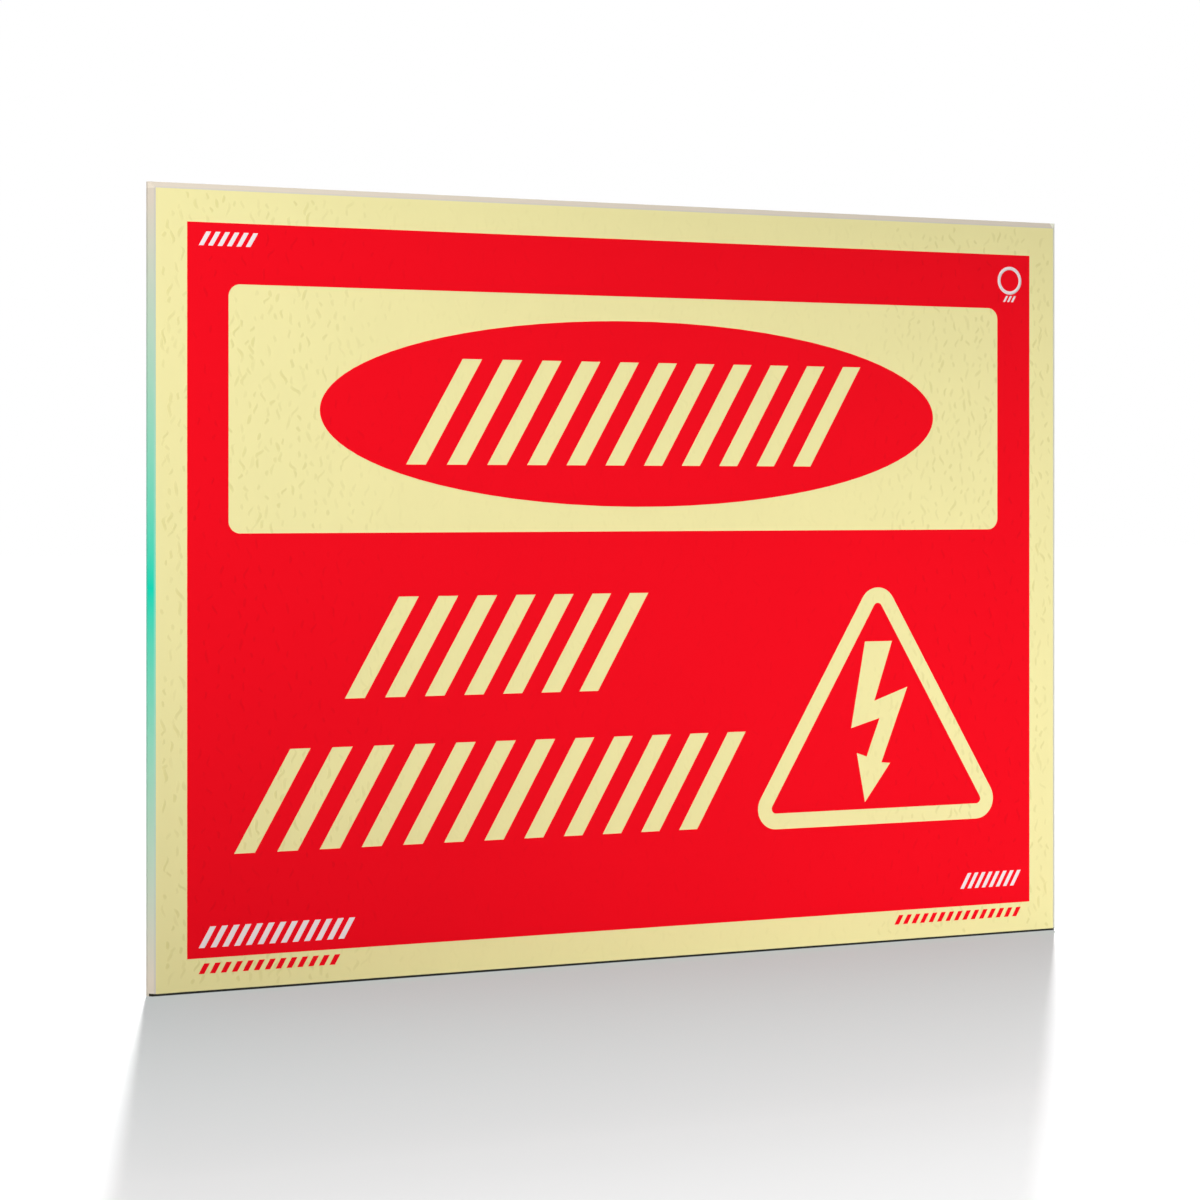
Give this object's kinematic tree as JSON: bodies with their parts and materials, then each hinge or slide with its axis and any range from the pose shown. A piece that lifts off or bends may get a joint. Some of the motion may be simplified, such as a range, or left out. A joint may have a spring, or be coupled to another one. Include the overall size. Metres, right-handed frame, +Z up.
{
  "type": "high voltage warning sign",
  "caption": "Flat rectangular wall sign: rigid board with bevelled front edge, luminous film and red print with an ellipse panel, slanted bars and a flash arrow in a triangle.",
  "frame": {"origin": "centre of the flat back face, which lies against the wall", "axes": "+Z up as the sign hangs, -Y out of the printed face towards the reader, +Y into the wall, +X to the reader's right along the width"},
  "size_m": [0.2, 0.0021, 0.15],
  "materials": {
    "board_plastic": "satin off-white rigid plastic, saw-cut and bevelled at the edges",
    "luminous_film": "pale yellow-green photoluminescent film with a shallow embossed grain",
    "red_ink": "opaque bright red print, semi-gloss, following the film's grain",
    "white_ink": "opaque white print on the red"
  },
  "bodies": {
    "root": {"backing_board": "board_plastic", "luminous_film": "luminous_film", "red_ink": "red_ink"}
  },
  "joints": []
}
